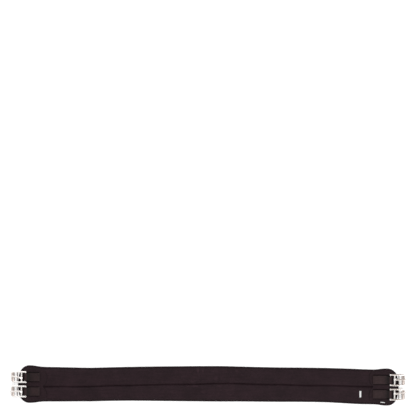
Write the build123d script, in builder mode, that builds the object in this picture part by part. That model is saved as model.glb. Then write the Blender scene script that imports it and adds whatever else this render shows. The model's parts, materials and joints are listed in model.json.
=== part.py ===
"""Saddle girth: a padded strap with two roller buckles on each end.

Millimetres, Z up, length along X, lining on Z = 0, middle of the girth over the origin.
"""

import os

from build123d import *

os.makedirs("parts", exist_ok=True)

# ---------------------------------------------------------------- overall
LENGTH = 1200.0  # roller to roller
BUCKLE_OVERHANG = 20.0  # each roller stands this far past the body's tip
STRAP_WIDTH = 25.0  # width of billets, webs and chapes
STRAP_PITCH = 44.0  # centre to centre of the two straps
HALF_BODY = LENGTH / 2 - BUCKLE_OVERHANG

# The body is widest at the shoulders, beside the buckles, and fullest again in the middle.
SHOULDER_MARGIN = 21.5  # from the outer edge of a strap to the edge of the body
NECK_STEP = 3.7  # each step in or out is on one side
WAIST_STEP = 1.4
MIDDLE_STEP = 2.3
SHOULDER_HALF_WIDTH = (STRAP_PITCH + STRAP_WIDTH) / 2 + SHOULDER_MARGIN
NECK_HALF_WIDTH = SHOULDER_HALF_WIDTH - NECK_STEP
WAIST_HALF_WIDTH = NECK_HALF_WIDTH - WAIST_STEP
MIDDLE_HALF_WIDTH = WAIST_HALF_WIDTH + MIDDLE_STEP
TIP_TO_NECK = 80.0
TIP_TO_WAIST = 250.0
NECK_X = HALF_BODY - TIP_TO_NECK
WAIST_X = HALF_BODY - TIP_TO_WAIST
SHOULDER_ROUND = 30.0
END_BULGE = 4.2  # how far the end bows out past the shoulder rounds
SHOULDER_X = HALF_BODY - SHOULDER_ROUND - END_BULGE  # centre of the shoulder round, along X
# Radius of the nearly flat end that closes on both shoulder rounds.
end_gap, end_rise = HALF_BODY - SHOULDER_X, SHOULDER_HALF_WIDTH - SHOULDER_ROUND
END_ROUND = (end_gap**2 + end_rise**2 - SHOULDER_ROUND**2) / (2 * (end_gap - SHOULDER_ROUND))

# ---------------------------------------------------------------- layers
LINING_THICKNESS = 1.2
BINDING_WALL = 1.2
BINDING_HEIGHT = 4.2
BINDING_TOP_LEG = 1.0
BINDING_WIDTH = 5.0
BINDING_TO_PAD = 0.6
FLANGE_TOP = BINDING_HEIGHT - BINDING_TOP_LEG
PAD_INSET = BINDING_WIDTH + BINDING_TO_PAD
COVER_THICKNESS = 1.3
COVER_TOP = 9.5
COVER_BEVEL = 2.4
CROWN_INSET = PAD_INSET + COVER_BEVEL  # where the flat of the pad starts
SEAM_WIDTH = 4.0
SEAM_DEPTH = 3.4
SEAM_TO_CUSP = 3.0  # the groove ends this far short of each end patch
FOAM_TOP = COVER_TOP - COVER_THICKNESS
FOAM_INSET = CROWN_INSET  # square edged, so it stays under the flat of the cover
FOAM_SEAM_GAP = SEAM_WIDTH / 2 + COVER_THICKNESS
WEB_THICKNESS = 1.6
WEB_END_GAP = 30.0  # from the body's tip

# ---------------------------------------------------------------- end patches
PATCH_THICKNESS = 1.0
PATCH_TOP = COVER_TOP + PATCH_THICKNESS
TIP_TO_CUSP = 77.0  # the two scallops of the inner edge meet on the seam
SCALLOP_DEPTH = 12.0
SCALLOP_SIDE_DEPTH = 1.0  # where a scallop runs off the side
PATCH_CUSP_X = HALF_BODY - TIP_TO_CUSP
PATCH_CREST_X = PATCH_CUSP_X - SCALLOP_DEPTH
PATCH_SIDE_X = PATCH_CUSP_X - SCALLOP_SIDE_DEPTH

# ---------------------------------------------------------------- buckles
BAR_RADIUS = 2.3  # heel bar and tongue bar
GUARD_BAR_RADIUS = 1.5  # thin bar that keeps the billet off the end of the body
ROLLER_RADIUS = 5.0
ROLLER_WALL = 1.9
ROLLER_FIT = 0.2  # radial, roller on front bar
ROLLER_SEAM = 0.5
FRONT_BAR_RADIUS = ROLLER_RADIUS - ROLLER_WALL - ROLLER_FIT
WINDOW_WIDTH = 27.0
RAIL_WIDTH = 4.5
RAIL_HEEL_RADIUS = 3.2
RAIL_FRONT_RADIUS = 3.6
FRAME_CORNER = 2.0
FRAME_WIDTH = WINDOW_WIDTH + 2 * RAIL_WIDTH
HEEL_TO_TONGUE_BAR = 12.0
HEEL_TO_GUARD_BAR = 25.1
HEEL_TO_FRONT_BAR = 38.5
FRONT_BAR_DROP = 1.9
GUARD_BAR_DROP = FRONT_BAR_DROP * HEEL_TO_GUARD_BAR / HEEL_TO_FRONT_BAR
HEEL_X = LENGTH / 2 - ROLLER_RADIUS - HEEL_TO_FRONT_BAR

ROLLER_SIDE_FIT = 0.4  # each end, roller to rail
CHAPE_FIT = 0.15  # radial, strap fold on heel bar
TONGUE_REST_GAP = 0.3  # tongue over roller
HUB_GAP = 0.6  # tongue hub over the end patch, which a skewed hub dips into as it turns

# ---------------------------------------------------------------- chapes
CHAPE_THICKNESS = 2.0
CHAPE_REACH = 54.5  # heel bar to the sewn end
CHAPE_LEGS_MEET = 16.5  # heel bar to where the two legs meet
CHAPE_SKIVE = 7.0  # length over which the sewn end is pared down
CHAPE_SKIVED = 1.2  # what is left at the very end
CHAPE_CORNER = 4.0
CHAPE_SLIT = 0.2  # the gap that is left where the legs meet
HEEL_Z = PATCH_TOP + CHAPE_THICKNESS + CHAPE_FIT + BAR_RADIUS
FRONT_Z = HEEL_Z - FRONT_BAR_DROP

# ---------------------------------------------------------------- tongues
TONGUE_THICKNESS = 2.6
TONGUE_ROOT_WIDTH = 4.8
TONGUE_TIP_WIDTH = 3.8
TONGUE_OVERHANG = 8.4  # of the tip past the roller's axis
TONGUE_REACH = HEEL_TO_FRONT_BAR - HEEL_TO_TONGUE_BAR + TONGUE_OVERHANG
HUB_WIDTH = 5.6
HUB_RADIUS = HEEL_Z - PATCH_TOP - HUB_GAP
HUB_NOSE = 6.5  # tongue bar to where the hub ends on the shank
TONGUE_ROOT = HUB_NOSE - TONGUE_THICKNESS  # the shank starts inside the hub's nose
EYE_RADIUS = 3.0  # loose on the bar, so that the tongue can lie askew
TONGUE_UNDERSIDE = FRONT_Z + ROLLER_RADIUS + TONGUE_REST_GAP - HEEL_Z
TONGUE_TIP_CORNER = 1.2
TONGUE_BEVEL = 0.6

# ---------------------------------------------------------------- labels
LABEL_SIZE = (5.4, 19.4, 0.5)
TIP_TO_LABEL = 116.0
LABEL_AT = (HALF_BODY - TIP_TO_LABEL, -STRAP_PITCH / 2)
TAG_SIZE = (13.7, 3.0, 0.4)
TIP_TO_TAG = 47.7
SHOULDER_TO_TAG = 10.5
TAG_AT = (HALF_BODY - TIP_TO_TAG, SHOULDER_TO_TAG - SHOULDER_HALF_WIDTH)
TAG_TURN = -5.5  # follows the edge where it widens

# End name: turn about Z.  Side name: sign of Y.
ENDS = {"left": 180, "right": 0}
SIDES = {"front": -1, "back": 1}
# How each loose tongue lies: shift of its hub along the bar, and skew in degrees.
TONGUE_LIE = {
    ("left", "back"): (-2.7, -10.0),
    ("left", "front"): (0.0, 0.0),
    ("right", "back"): (1.5, 0.0),
    ("right", "front"): (1.8, 9.5),
}


def save(part, name):
    part.label = name
    export_step(part, f"parts/{name}.step")


def s_curve(start, end):
    """Two equal arcs that leave the start and reach the end level."""
    middle = ((start[0] + end[0]) / 2, (start[1] + end[1]) / 2)
    first = TangentArc(start, middle, tangent=(1, 0))
    TangentArc(middle, end, tangent=first % 1)


with BuildLine() as quarter:
    s_curve((0, MIDDLE_HALF_WIDTH), (WAIST_X, WAIST_HALF_WIDTH))
    s_curve((WAIST_X, WAIST_HALF_WIDTH), (NECK_X, NECK_HALF_WIDTH))
    s_curve((NECK_X, NECK_HALF_WIDTH), (SHOULDER_X, SHOULDER_HALF_WIDTH))
    shoulder, end = Vector(SHOULDER_X, end_rise), Vector(HALF_BODY - END_ROUND, 0)
    lean = (shoulder - end).normalized()
    corner = shoulder + lean * SHOULDER_ROUND
    TangentArc((SHOULDER_X, SHOULDER_HALF_WIDTH), corner, tangent=(1, 0))
    TangentArc(corner, (HALF_BODY, 0), tangent=(lean.Y, -lean.X))


def body_face(inset=0.0):
    """Plan of the body, drawn in from its edge by the inset."""
    with BuildSketch() as plan:
        with BuildLine():
            for arc in quarter.edges():
                inward = [(arc % u).rotate(Axis.Z, -90) * inset for u in (0, 0.5, 1)]
                ThreePointArc(*(arc @ u + shift for u, shift in zip((0, 0.5, 1), inward)))
            mirror(about=Plane.XZ)
            mirror(about=Plane.YZ)
        make_face()
    return plan.sketch


# ================================================================ soft body
with BuildPart() as lining:
    with BuildSketch():
        add(body_face(BINDING_WALL))
    extrude(amount=LINING_THICKNESS)
save(lining.part, "lining")

with BuildPart() as binding:
    with BuildSketch():
        add(body_face())
    extrude(amount=BINDING_HEIGHT)
    with BuildSketch():
        add(body_face(BINDING_WALL))
    extrude(amount=FLANGE_TOP, mode=Mode.SUBTRACT)
    with BuildSketch(Plane.XY.offset(FLANGE_TOP)):
        add(body_face(BINDING_WIDTH))
    extrude(amount=BINDING_TOP_LEG, mode=Mode.SUBTRACT)
save(binding.part, "edge_binding")

webs = {}
for side, sign in SIDES.items():
    with BuildPart() as web:
        with Locations((0, sign * STRAP_PITCH / 2, FOAM_TOP - WEB_THICKNESS / 2)):
            Box(2 * (HALF_BODY - WEB_END_GAP), STRAP_WIDTH, WEB_THICKNESS)
    webs[side] = web.part
    save(web.part, f"load_web_{side}")

foams = {}
for side, sign in SIDES.items():
    with BuildPart() as foam:
        with BuildSketch(Plane.XY.offset(LINING_THICKNESS)):
            add(body_face(FOAM_INSET))
            with Locations((0, sign * (FOAM_SEAM_GAP + LENGTH / 2))):
                Rectangle(2 * LENGTH, LENGTH, mode=Mode.INTERSECT)
        extrude(amount=FOAM_TOP - LINING_THICKNESS)
        add(webs[side], mode=Mode.SUBTRACT)
    foams[side] = foam.part
    save(foam.part, f"foam_pad_{side}")

with BuildPart() as cover:
    with BuildSketch(Plane.XY.offset(LINING_THICKNESS)):
        add(body_face(PAD_INSET))
    extrude(amount=COVER_TOP - LINING_THICKNESS)
    chamfer(cover.edges().group_by(Axis.Z)[-1], COVER_BEVEL)
    with BuildSketch(Plane.XY.offset(LINING_THICKNESS)):
        add(body_face(BINDING_WALL))
    extrude(amount=FLANGE_TOP - LINING_THICKNESS)
    with BuildSketch(Plane.XY.offset(COVER_TOP)):
        Rectangle(2 * (PATCH_CUSP_X - SEAM_TO_CUSP), SEAM_WIDTH)
    extrude(amount=-SEAM_DEPTH, mode=Mode.SUBTRACT)
    for side in SIDES:
        add(foams[side], mode=Mode.SUBTRACT)
        add(webs[side], mode=Mode.SUBTRACT)
save(cover.part, "outer_cover")

# ================================================================ end patches
with BuildPart() as patch:
    side_y = SHOULDER_HALF_WIDTH
    with BuildSketch(Plane.XY.offset(COVER_TOP)):
        add(body_face(CROWN_INSET))
        with BuildLine():
            for sign in SIDES.values():
                crest = (PATCH_CREST_X, sign * STRAP_PITCH / 2)
                ThreePointArc((PATCH_CUSP_X, 0), crest, (PATCH_SIDE_X, sign * side_y))
            Polyline((PATCH_SIDE_X, side_y), (HALF_BODY, side_y), (HALF_BODY, -side_y), (PATCH_SIDE_X, -side_y))
        make_face(mode=Mode.INTERSECT)
    extrude(amount=PATCH_THICKNESS)

for end, turn in ENDS.items():
    with BuildPart() as placed:
        with Locations(Location((0, 0, 0), (0, 0, turn))):
            add(patch.part)
    save(placed.part, f"end_patch_{end}")

# ================================================================ chapes
fold_in = BAR_RADIUS + CHAPE_FIT
fold_out = fold_in + CHAPE_THICKNESS
seat = -fold_out  # underside of the strap, seen from the heel bar
meet, tail = -CHAPE_LEGS_MEET, -CHAPE_REACH
legs_top = seat + 2 * CHAPE_THICKNESS

# Seen from the side, with the heel bar at the origin.
with BuildPart() as chape:
    with BuildSketch(Plane.XZ):
        Circle(fold_out)
        with Locations((meet, seat + CHAPE_THICKNESS)):
            Circle(CHAPE_THICKNESS)
        make_hull()
        with BuildLine():
            Polyline(
                (tail, seat), (0, seat), (0, seat + CHAPE_THICKNESS), (meet, legs_top),
                (tail + CHAPE_SKIVE, legs_top), (tail, seat + CHAPE_SKIVED), close=True,
            )
        make_face()
        with BuildSketch(mode=Mode.PRIVATE) as eye:
            Circle(fold_in)
            with Locations((meet, seat + CHAPE_THICKNESS)):
                Rectangle(CHAPE_SLIT, CHAPE_SLIT, align=(Align.MAX, Align.MIN))
            make_hull()
        add(eye.sketch, mode=Mode.SUBTRACT)
    extrude(amount=STRAP_WIDTH / 2, both=True)
    ends = chape.edges().filter_by(Axis.Z).group_by(Axis.X)[0]
    chamfer(ends, CHAPE_CORNER)

# ================================================================ buckle frame
# Heel bar on the local Y axis, front bar towards +X.
with BuildPart() as rail:
    with BuildSketch(Plane.XZ):
        Circle(RAIL_HEEL_RADIUS)
        with Locations((HEEL_TO_FRONT_BAR, -FRONT_BAR_DROP)):
            Circle(RAIL_FRONT_RADIUS)
        make_hull()
    extrude(amount=RAIL_WIDTH / 2, both=True)

frame_length = RAIL_HEEL_RADIUS + HEEL_TO_FRONT_BAR + RAIL_FRONT_RADIUS
with BuildPart() as frame:
    with Locations((0, (FRAME_WIDTH - RAIL_WIDTH) / 2, 0)):
        add(rail.part)
    mirror(about=Plane.XZ)
    with BuildSketch():
        with Locations((-RAIL_HEEL_RADIUS, 0)):
            outline = Rectangle(frame_length, FRAME_WIDTH, align=(Align.MIN, Align.CENTER))
        chamfer(outline.vertices(), FRAME_CORNER)
    extrude(amount=2 * ROLLER_RADIUS, both=True, mode=Mode.INTERSECT)
    grip = RAIL_WIDTH / 2  # how far each bar is let into the rails
    for x, z, r in (
        (0, 0, BAR_RADIUS),
        (HEEL_TO_TONGUE_BAR, 0, BAR_RADIUS),
        (HEEL_TO_GUARD_BAR, -GUARD_BAR_DROP, GUARD_BAR_RADIUS),
        (HEEL_TO_FRONT_BAR, -FRONT_BAR_DROP, FRONT_BAR_RADIUS),
    ):
        with BuildSketch(Plane.XZ):
            with Locations((x, z)):
                Circle(r)
        extrude(amount=WINDOW_WIDTH / 2 + grip, both=True)

# ================================================================ roller
with BuildPart() as roller:
    with BuildSketch(Plane.XZ):
        Circle(ROLLER_RADIUS)
        Circle(FRONT_BAR_RADIUS + ROLLER_FIT, mode=Mode.SUBTRACT)
        Rectangle(ROLLER_SEAM, ROLLER_RADIUS, align=(Align.CENTER, Align.MAX), mode=Mode.SUBTRACT)
    extrude(amount=WINDOW_WIDTH / 2 - ROLLER_SIDE_FIT, both=True)

# ================================================================ tongue
# Tongue bar on the local Y axis, tip towards +X.
with BuildPart() as tongue:
    with BuildSketch(Plane.XY.offset(TONGUE_UNDERSIDE)):
        with BuildLine():
            Polyline(
                (TONGUE_ROOT, TONGUE_ROOT_WIDTH / 2),
                (TONGUE_ROOT, -TONGUE_ROOT_WIDTH / 2),
                (TONGUE_REACH - TONGUE_TIP_CORNER, -TONGUE_TIP_WIDTH / 2),
                (TONGUE_REACH, TONGUE_TIP_CORNER - TONGUE_TIP_WIDTH / 2),
                (TONGUE_REACH, TONGUE_TIP_WIDTH / 2 - TONGUE_TIP_CORNER),
                (TONGUE_REACH - TONGUE_TIP_CORNER, TONGUE_TIP_WIDTH / 2),
                close=True,
            )
        make_face()
    extrude(amount=TONGUE_THICKNESS)
    chamfer(tongue.edges().group_by(Axis.Z)[-1], TONGUE_BEVEL)
    with BuildSketch(Plane.XZ):
        Circle(HUB_RADIUS)
        with Locations((HUB_NOSE, TONGUE_UNDERSIDE)):
            Rectangle(TONGUE_THICKNESS, TONGUE_THICKNESS, align=(Align.MAX, Align.MIN))
        make_hull()
    extrude(amount=HUB_WIDTH / 2, both=True)
    with BuildSketch(Plane.XZ):
        Circle(EYE_RADIUS)
    extrude(amount=HUB_WIDTH, both=True, mode=Mode.SUBTRACT)

# ================================================================ placing
for end, turn in ENDS.items():
    out = 1 if turn == 0 else -1
    for side, sign in SIDES.items():
        name = f"{end}_{side}"
        strap_y = sign * STRAP_PITCH / 2
        shift, skew = TONGUE_LIE[end, side]
        at_heel = Location((out * HEEL_X, strap_y, HEEL_Z), (0, 0, turn))
        at_front = Location((out * (HEEL_X + HEEL_TO_FRONT_BAR), strap_y, FRONT_Z), (0, 0, turn))
        at_tongue = Location(
            (out * (HEEL_X + HEEL_TO_TONGUE_BAR), strap_y + shift, HEEL_Z), (0, 0, turn + skew)
        )
        for prototype, kind, where in (
            (chape, "chape", at_heel),
            (frame, "buckle_frame", at_heel),
            (roller, "roller", at_front),
            (tongue, "tongue", at_tongue),
        ):
            with BuildPart() as placed:
                with Locations(where):
                    add(prototype.part)
            save(placed.part, f"{kind}_{name}")

# ================================================================ labels
for name, (long, wide, thick), (x, y), seat_z, turn in (
    ("brand_label", LABEL_SIZE, LABEL_AT, COVER_TOP, 0),
    ("size_tag", TAG_SIZE, TAG_AT, PATCH_TOP, TAG_TURN),
):
    with BuildPart() as label:
        with Locations(Location((x, y, seat_z + thick / 2), (0, 0, turn))):
            Box(long, wide, thick)
    save(label.part, name)
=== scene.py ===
"""Looks of the saddle girth: padded cover, bound edge, end patches, chapes, stitching, labels and steel.

Sizes are in millimetres and are turned to metres where a mesh is made. Main sizes that the frame doesn't
give, such as the steel's, repeat those of the CAD source.
"""

import json
import math

import bmesh
import bpy
from mathutils import Matrix, Vector, noise


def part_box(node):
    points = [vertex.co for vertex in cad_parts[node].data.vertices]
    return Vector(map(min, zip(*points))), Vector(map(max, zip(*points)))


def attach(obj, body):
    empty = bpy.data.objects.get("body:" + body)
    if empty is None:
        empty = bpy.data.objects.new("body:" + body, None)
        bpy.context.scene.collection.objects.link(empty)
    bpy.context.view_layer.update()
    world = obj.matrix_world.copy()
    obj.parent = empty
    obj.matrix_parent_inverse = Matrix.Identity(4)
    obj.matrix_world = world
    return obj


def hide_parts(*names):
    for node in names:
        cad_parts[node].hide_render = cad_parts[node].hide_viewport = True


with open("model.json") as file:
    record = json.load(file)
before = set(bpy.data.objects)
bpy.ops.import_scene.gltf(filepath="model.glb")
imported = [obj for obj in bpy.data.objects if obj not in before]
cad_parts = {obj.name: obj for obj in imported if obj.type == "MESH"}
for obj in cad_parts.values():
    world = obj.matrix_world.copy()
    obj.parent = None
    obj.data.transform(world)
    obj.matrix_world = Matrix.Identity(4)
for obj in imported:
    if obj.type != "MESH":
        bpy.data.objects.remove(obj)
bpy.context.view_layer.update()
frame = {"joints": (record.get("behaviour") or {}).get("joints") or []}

MM = 0.001
ENDS = {"left": -1, "right": 1}
SIDES = {"front": -1, "back": 1}
UP = Vector((0, 0, 1))


def box_mm(node):
    """Lowest and highest corner of a CAD node, in millimetres."""
    return [Vector(corner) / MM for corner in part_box(node)]


def joint_at(name):
    """Where a joint's axis lies, in millimetres."""
    for joint in frame["joints"]:
        if joint["name"] == name:
            return [v / MM for v in joint["pos_m"]]
    raise ValueError(name)


# ---- sizes from the frame
RIM_HIGH = box_mm("edge_binding")[1]
HALF_BODY, SHOULDER = RIM_HIGH.x, RIM_HIGH.y
COVER_TOP = box_mm("outer_cover")[1].z
PATCH_CREST = box_mm("end_patch_right")[0].x

# ---- plan of the body
MIDDLE_HALF, WAIST_HALF, NECK_HALF = 53.2, 50.9, 52.3
WAIST_X, NECK_X = HALF_BODY - 250, HALF_BODY - 80
CORNER_R, END_BULGE = 30.0, 4.2
CORNER_X, CORNER_Y = HALF_BODY - CORNER_R - END_BULGE, SHOULDER - CORNER_R
END_R = ((HALF_BODY - CORNER_X) ** 2 + CORNER_Y**2 - CORNER_R**2) / (2 * (HALF_BODY - CORNER_X - CORNER_R))
END_X = HALF_BODY - END_R
CORNER_SWEEP = math.atan2(CORNER_X - END_X, CORNER_Y)  # from straight across to where the end arc starts


def s_curve(t):
    """0 to 1 with level ends, as two equal arcs give."""
    return 2 * t * t if t < 0.5 else 1 - 2 * (1 - t) ** 2


def half_width(x):
    """Half width of the body at x."""
    x = abs(x)
    stations = [(0, MIDDLE_HALF), (WAIST_X, WAIST_HALF), (NECK_X, NECK_HALF), (CORNER_X, SHOULDER)]
    for (x0, w0), (x1, w1) in zip(stations, stations[1:]):
        if x <= x1:
            return w0 + (w1 - w0) * s_curve((x - x0) / (x1 - x0))
    if x < CORNER_X + CORNER_R * math.sin(CORNER_SWEEP):
        return CORNER_Y + math.sqrt(CORNER_R**2 - (x - CORNER_X) ** 2)
    return math.sqrt(max(END_R**2 - (x - END_X) ** 2, 0))


def half_width_inside(x, inset):
    """Half width at x of the body's outline drawn in by the inset."""
    x = abs(x)
    if x <= CORNER_X:
        return half_width(x) - inset
    if x < CORNER_X + (CORNER_R - inset) * math.sin(CORNER_SWEEP):
        return CORNER_Y + math.sqrt((CORNER_R - inset) ** 2 - (x - CORNER_X) ** 2)
    return math.sqrt(max((END_R - inset) ** 2 - (x - END_X) ** 2, 0))


def edge_distance(x, y):
    """How far a point of the plan lies in from the edge of the body."""
    x, y = abs(x), abs(y)
    if x <= CORNER_X:
        return half_width(x) - y
    around = math.atan2(x - CORNER_X, y - CORNER_Y)
    if y > CORNER_Y and around < CORNER_SWEEP:
        return CORNER_R - math.hypot(x - CORNER_X, y - CORNER_Y)
    return END_R - math.hypot(x - END_X, y)


def quarter_rim(step):
    """Points and outward normals from the middle of the back edge round to the tip at +X."""
    out = []
    count = int(CORNER_X / step)
    for i in range(count):
        x = CORNER_X * i / count
        slope = half_width(x + 0.5) - half_width(x - 0.5)
        normal = Vector((-slope, 1, 0)).normalized()
        out.append((Vector((x, half_width(x), 0)), normal))
    count = int(CORNER_R * CORNER_SWEEP / step) + 8
    for i in range(count):
        a = CORNER_SWEEP * i / count
        normal = Vector((math.sin(a), math.cos(a), 0))
        out.append((Vector((CORNER_X, CORNER_Y, 0)) + normal * CORNER_R, normal))
    count = int(END_R * (math.pi / 2 - CORNER_SWEEP) / step) + 4
    for i in range(count + 1):
        a = CORNER_SWEEP + (math.pi / 2 - CORNER_SWEEP) * i / count
        normal = Vector((math.sin(a), math.cos(a), 0))
        out.append((Vector((END_X, 0, 0)) + normal * END_R, normal))
    return out


def full_rim(step):
    """Points and outward normals once round the body, clockwise from the middle of the back edge."""
    quarter = quarter_rim(step)

    def flip(pair, sx, sy):
        return tuple(Vector((v.x * sx, v.y * sy, 0)) for v in pair)

    right = quarter + [flip(p, 1, -1) for p in reversed(quarter[:-1])]
    left = [flip(p, -1, 1) for p in reversed(right[1:-1])]
    return right + left


# ---- how it lies in the photograph
# Each row: distance along the girth, then the amount there.
BOW = [(-359, 0), (-268, 2.8), (-194, 4.0), (-85, 4.9), (25, 5.6), (98, 5.4), (208, 4.6), (281, 4.8)]
BOW += [(355, 4.4), (391, 3.3), (428, 2.0), (465, 0.6), (501, 0)]  # how far it bows back
# how much wider it lies than it was cut, on each side
SPREAD = [(-575, 0.5), (-545, 1.2), (-515, 1.0), (-490, 0.4), (-400, 0.2), (-200, 0.4), (-90, 0.3), (-30, 0.6)]
SPREAD += [(40, 0.9), (90, 0.5), (130, 0.5), (200, 1.0), (300, 1.4), (440, 1.4), (500, 0.8), (545, 0.5)]
END_CREEP = 1.7  # how far the right end lies out past its cut
CREEP_FROM, CREEP_OVER = 530, 40  # where that starts, and how far it takes
SEAM_PATH = [(-520, -7.6), (-414, -6.9), (-340, -6.0), (-300, -5.0), (-240, -5.3), (-190, -4.0), (-121, -2.4)]
SEAM_PATH += [(-50, -1.9), (-10, -0.4), (25, 0.8), (85, 1.3), (150, -0.2), (225, 0.2), (300, -1.9), (367, -0.7)]
SEAM_PATH += [(440, 0.4), (520, 0.8)]  # how far the middle seam wanders back


def read_off(rows, x):
    """The value at x on a smooth line through the rows."""
    if x <= rows[0][0]:
        return rows[0][1]
    for i in range(len(rows) - 1):
        (x0, y0), (x1, y1) = rows[i], rows[i + 1]
        if x <= x1:
            before, after = rows[max(i - 1, 0)], rows[min(i + 2, len(rows) - 1)]
            m0 = (y1 - before[1]) / (x1 - before[0]) * (x1 - x0)
            m1 = (after[1] - y0) / (after[0] - x0) * (x1 - x0)
            t = (x - x0) / (x1 - x0)
            rise = y0 + (y1 - y0) * t * t * (3 - 2 * t)
            return rise + m0 * t * (1 - t) ** 2 - m1 * t * t * (1 - t)
    return rows[-1][1]


def laid(x, y, z):
    """Where a point of the straight, flat girth lies once it is on the floor, in metres."""
    out = x + END_CREEP * smooth((x - CREEP_FROM) / CREEP_OVER)
    return out * MM, (y * (1 + read_off(SPREAD, x) / MIDDLE_HALF) + read_off(BOW, x)) * MM, z * MM


def as_cut(x, y, z):
    """A point exactly where the CAD has it, in metres."""
    return x * MM, y * MM, z * MM


def seam_y(x):
    """Where the middle seam runs."""
    return read_off(SEAM_PATH, x)


def smooth(t):
    """0 to 1 with level ends, held outside them."""
    t = min(max(t, 0.0), 1.0)
    return t * t * (3 - 2 * t)


# ---- relief of the cover
BINDING_WIDTH = 5.0
PAD_FOOT = 3.4  # height of the cover where it comes out from under the binding
CROWN_REACH = 7.0  # how far in the crown takes to reach its full height
SEAM_HALF = 0.7  # of the groove's narrow floor
SEAM_SHOULDER = 5.2  # from the seam to where its groove begins
SEAM_DEPTH = 4.0
CREASE_X = -26.0  # an old fold across the girth


def ripple(x, y, along, across, seed):
    """Smooth noise within -1 to 1, its waves about this long along and across the girth."""
    return noise.noise(Vector((x / along, y / across, seed)))


def crease_line(y):
    """Where the old fold crosses at y."""
    return CREASE_X + 0.05 * y + 2.0 * ripple(0, y, 1, 14, 9.3)


def cover_height(x, y, with_seam=True):
    """Height of the cover's upper face."""
    d = edge_distance(x, y)
    rise = min(max((d - BINDING_WIDTH) / CROWN_REACH, 0.0), 1.0)
    crown = math.sqrt(1 - (1 - rise) ** 2.4)
    top = COVER_TOP - 0.25 + 0.25 * smooth((d - 8) / 22)
    z = PAD_FOOT + (top - PAD_FOOT) * crown
    from_seam = abs(y - seam_y(x))
    if with_seam and from_seam < SEAM_SHOULDER and abs(x) < PATCH_CREST + 20:
        t = max(from_seam - SEAM_HALF, 0) / (SEAM_SHOULDER - SEAM_HALF)
        pull = 1 + 0.18 * ripple(x, y, 5, 40, 4.4)
        z -= SEAM_DEPTH * pull * (1 - math.sqrt(1 - (1 - t) ** 2))
    soft = smooth((d - BINDING_WIDTH) / 7)
    z += soft * (0.30 * ripple(x, y, 70, 26, 1.7) + 0.13 * ripple(x, y, 21, 15, 6.1))
    # puckers that the stitching draws into both seams
    near_edge = smooth((d - BINDING_WIDTH) / 2) * (1 - smooth((d - 9) / 9))
    z += 0.16 * near_edge * ripple(x, 0, 7.5, 30, 2.2 if y > 0 else 5.9)
    near_seam = (1 - smooth((from_seam - 3) / 9)) * smooth(from_seam / 3)
    z += 0.14 * near_seam * ripple(x, 0, 6.5, 30, 7.7 if y > seam_y(x) else 3.5)
    # the fold
    off = x - crease_line(y)
    fade = 0.55 + 0.45 * ripple(0, y, 1, 17, 8.8)
    z += soft * fade * (-0.75 * math.exp(-((off / 2.2) ** 2)) + 0.42 * math.exp(-(((off - 5.5) / 3.6) ** 2)))
    z += soft * fade * 0.30 * math.exp(-(((off + 6.5) / 4.5) ** 2))
    return z


# ---- mesh helpers
def face_outwards(mesh):
    """Merge points that fall together and turn every face outwards."""
    built = bmesh.new()
    built.from_mesh(mesh)
    bmesh.ops.remove_doubles(built, verts=built.verts[:], dist=0.002 * MM)
    bmesh.ops.dissolve_degenerate(built, edges=built.edges[:], dist=0.001 * MM)
    bmesh.ops.recalc_face_normals(built, faces=built.faces[:])
    built.to_mesh(mesh)
    built.free()
    mesh.update()


def piece(name, verts, faces, material, lies=laid):
    """A mesh object from points of the straight girth, in millimetres, laid on the floor with it."""
    mesh = bpy.data.meshes.new(name)
    mesh.from_pydata([lies(*v) for v in verts], [], faces)
    mesh.validate()
    face_outwards(mesh)
    mesh.materials.append(material)
    mesh.polygons.foreach_set("use_smooth", [True] * len(mesh.polygons))
    obj = bpy.data.objects.new(name, mesh)
    bpy.context.scene.collection.objects.link(obj)
    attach(obj, "girth")
    return obj


def strip_faces(rings, points, closed_rings=False, closed_points=False):
    """Quads of a grid of rings, each of so many points."""
    faces = []
    for i in range(rings if closed_rings else rings - 1):
        for j in range(points if closed_points else points - 1):
            a, b = i * points + j, i * points + (j + 1) % points
            k = (i + 1) % rings
            faces.append((a, b, k * points + (j + 1) % points, k * points + j))
    return faces


def grid_rim(rows, columns):
    """Numbers of the points once round the edge of a grid."""
    rim = list(range(columns))
    rim += [i * columns + columns - 1 for i in range(1, rows)]
    rim += [(rows - 1) * columns + j for j in range(columns - 2, -1, -1)]
    rim += [i * columns for i in range(rows - 2, 0, -1)]
    return rim


def skirted(rows, columns, top, floor_z):
    """A closed solid under a grid of points: side walls down to floor_z, a height or a function of x and y,
    and one face underneath."""
    faces = strip_faces(rows, columns)
    rim = grid_rim(rows, columns)
    verts, base = list(top), len(top)
    for k in rim:
        x, y, _ = top[k]
        z = floor_z(x, y) if callable(floor_z) else floor_z
        verts.append((x, y, z))
    n = len(rim)
    for k in range(n):
        a, b = rim[k], rim[(k + 1) % n]
        faces.append((b, a, base + k, base + (k + 1) % n))
    faces.append(tuple(base + k for k in range(n)))
    return verts, faces


STITCH_LENGTH, STITCH_PITCH, STITCH_RADIUS = 3.1, 4.4, 0.33
STITCH_SIDES, STITCH_STATIONS = 6, (0.0, 0.18, 0.5, 0.82, 1.0)
STITCH_SLANT = 0.12  # most that the two ends of a stitch lie out of line


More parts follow.
